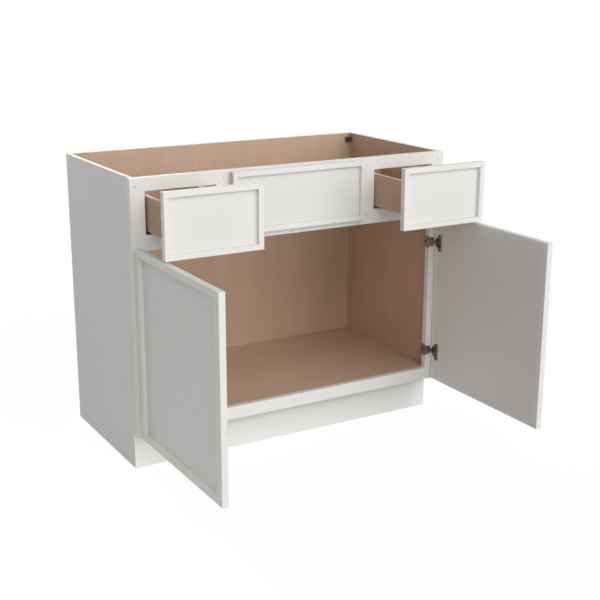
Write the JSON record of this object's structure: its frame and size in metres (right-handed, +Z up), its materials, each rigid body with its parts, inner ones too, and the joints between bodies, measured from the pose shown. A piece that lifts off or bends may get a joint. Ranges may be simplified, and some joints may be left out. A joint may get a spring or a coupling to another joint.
{
  "type": "sink base cabinet",
  "caption": "Framed floor cabinet with an open top for a sink: slim shaker fronts, a working drawer each side of a fixed false front, and a pair of hinged doors over a toe kick.",
  "frame": {"origin": "middle of the cabinet's width, in the plane of the wall behind it, at floor level", "axes": "+X to the right as seen from the front, +Y towards the wall, +Z up; doors stand open and drawers partly out at rest"},
  "size_m": [1.0668, 1.0619, 0.8763],
  "materials": {
    "painted_wood": "satin off-white paint on hardwood",
    "finished_panel": "plywood, painted off-white outside, tan veneer inside",
    "veneered_panel": "plywood with tan birch veneer, matt clear coat",
    "drawer_wood": "solid tan wood, matt clear coat",
    "drawer_ply": "thin plywood, matt clear coat",
    "brown_plastic": "moulded brown",
    "grey_plastic": "moulded grey",
    "soft_clear_plastic": "soft translucent pad",
    "zinc_steel": "zinc-plated rolled sheet",
    "screw_steel": "zinc-plated",
    "nickel_steel": "nickel-plated stamped sheet"
  },
  "bodies": {
    "cabinet": {"back_panel": "veneered_panel", "corner_block_screws": "screw_steel", "corner_blocks": "brown_plastic", "false_front_frame": "painted_wood", "false_front_panel": "painted_wood", "false_front_screws": "screw_steel", "false_front_washers": "screw_steel", "fixed_runners": "zinc_steel", "floor_panel": "veneered_panel", "frame_bottom_rail": "painted_wood", "frame_bumpers": "soft_clear_plastic", "frame_left_mullion": "painted_wood", "frame_left_stile": "painted_wood", "frame_middle_rail": "painted_wood", "frame_right_mullion": "painted_wood", "frame_right_stile": "painted_wood", "frame_top_rail": "painted_wood", "hinge_arms": "nickel_steel", "hinge_brackets": "nickel_steel", "hinge_screws": "screw_steel", "left_side_panel": "finished_panel", "rear_runner_sockets": "grey_plastic", "right_side_panel": "finished_panel", "runner_screws": "screw_steel", "toe_board": "painted_wood"},
    "left_drawer": {"left_box_runners": "zinc_steel", "left_drawer_bottom": "drawer_ply", "left_drawer_box_back": "drawer_wood", "left_drawer_box_front": "drawer_wood", "left_drawer_front_frame": "painted_wood", "left_drawer_front_panel": "painted_wood", "left_drawer_front_screws": "screw_steel", "left_drawer_sides": "drawer_wood", "left_lock_clips": "grey_plastic"},
    "left_door": {"left_door_cup_screws": "screw_steel", "left_door_free_stile": "painted_wood", "left_door_hinge_cups": "nickel_steel", "left_door_hinge_pins": "nickel_steel", "left_door_hinge_stile": "painted_wood", "left_door_panel": "painted_wood", "left_door_rails": "painted_wood"},
    "left_middle_runners": {"left_middle_runners": "zinc_steel"},
    "right_drawer": {"right_box_runners": "zinc_steel", "right_drawer_bottom": "drawer_ply", "right_drawer_box_back": "drawer_wood", "right_drawer_box_front": "drawer_wood", "right_drawer_front_frame": "painted_wood", "right_drawer_front_panel": "painted_wood", "right_drawer_front_screws": "screw_steel", "right_drawer_sides": "drawer_wood", "right_lock_clips": "grey_plastic"},
    "right_door": {"right_door_cup_screws": "screw_steel", "right_door_free_stile": "painted_wood", "right_door_hinge_cups": "nickel_steel", "right_door_hinge_pins": "nickel_steel", "right_door_hinge_stile": "painted_wood", "right_door_panel": "painted_wood", "right_door_rails": "painted_wood"},
    "right_middle_runners": {"right_middle_runners": "zinc_steel"}
  },
  "joints": [
    {"name": "left_door_hinge", "type": "hinge", "parent": "cabinet", "child": "left_door", "pos_m": [-0.51955, -0.5464, 0.40005], "axis": [0, 0, -1], "range_deg": [-90, 15]},
    {"name": "left_drawer_slide", "type": "slide", "parent": "cabinet", "child": "left_drawer", "axis": [0, -1, 0], "range_m": [-0.194, 0.246]},
    {"name": "left_middle_runners_slide", "type": "slide", "parent": "cabinet", "child": "left_middle_runners", "axis": [0, -1, 0], "range_m": [-0.097, 0.123]},
    {"name": "right_door_hinge", "type": "hinge", "parent": "cabinet", "child": "right_door", "pos_m": [0.51955, -0.5464, 0.40005], "axis": [0, 0, 1], "range_deg": [-90, 15]},
    {"name": "right_drawer_slide", "type": "slide", "parent": "cabinet", "child": "right_drawer", "axis": [0, -1, 0], "range_m": [-0.194, 0.246]},
    {"name": "right_middle_runners_slide", "type": "slide", "parent": "cabinet", "child": "right_middle_runners", "axis": [0, -1, 0], "range_m": [-0.097, 0.123]}
  ],
  "couplings": [
    {"joint": "left_middle_runners_slide", "follows": "left_drawer_slide", "ratio": 0.5},
    {"joint": "right_middle_runners_slide", "follows": "right_drawer_slide", "ratio": 0.5}
  ]
}
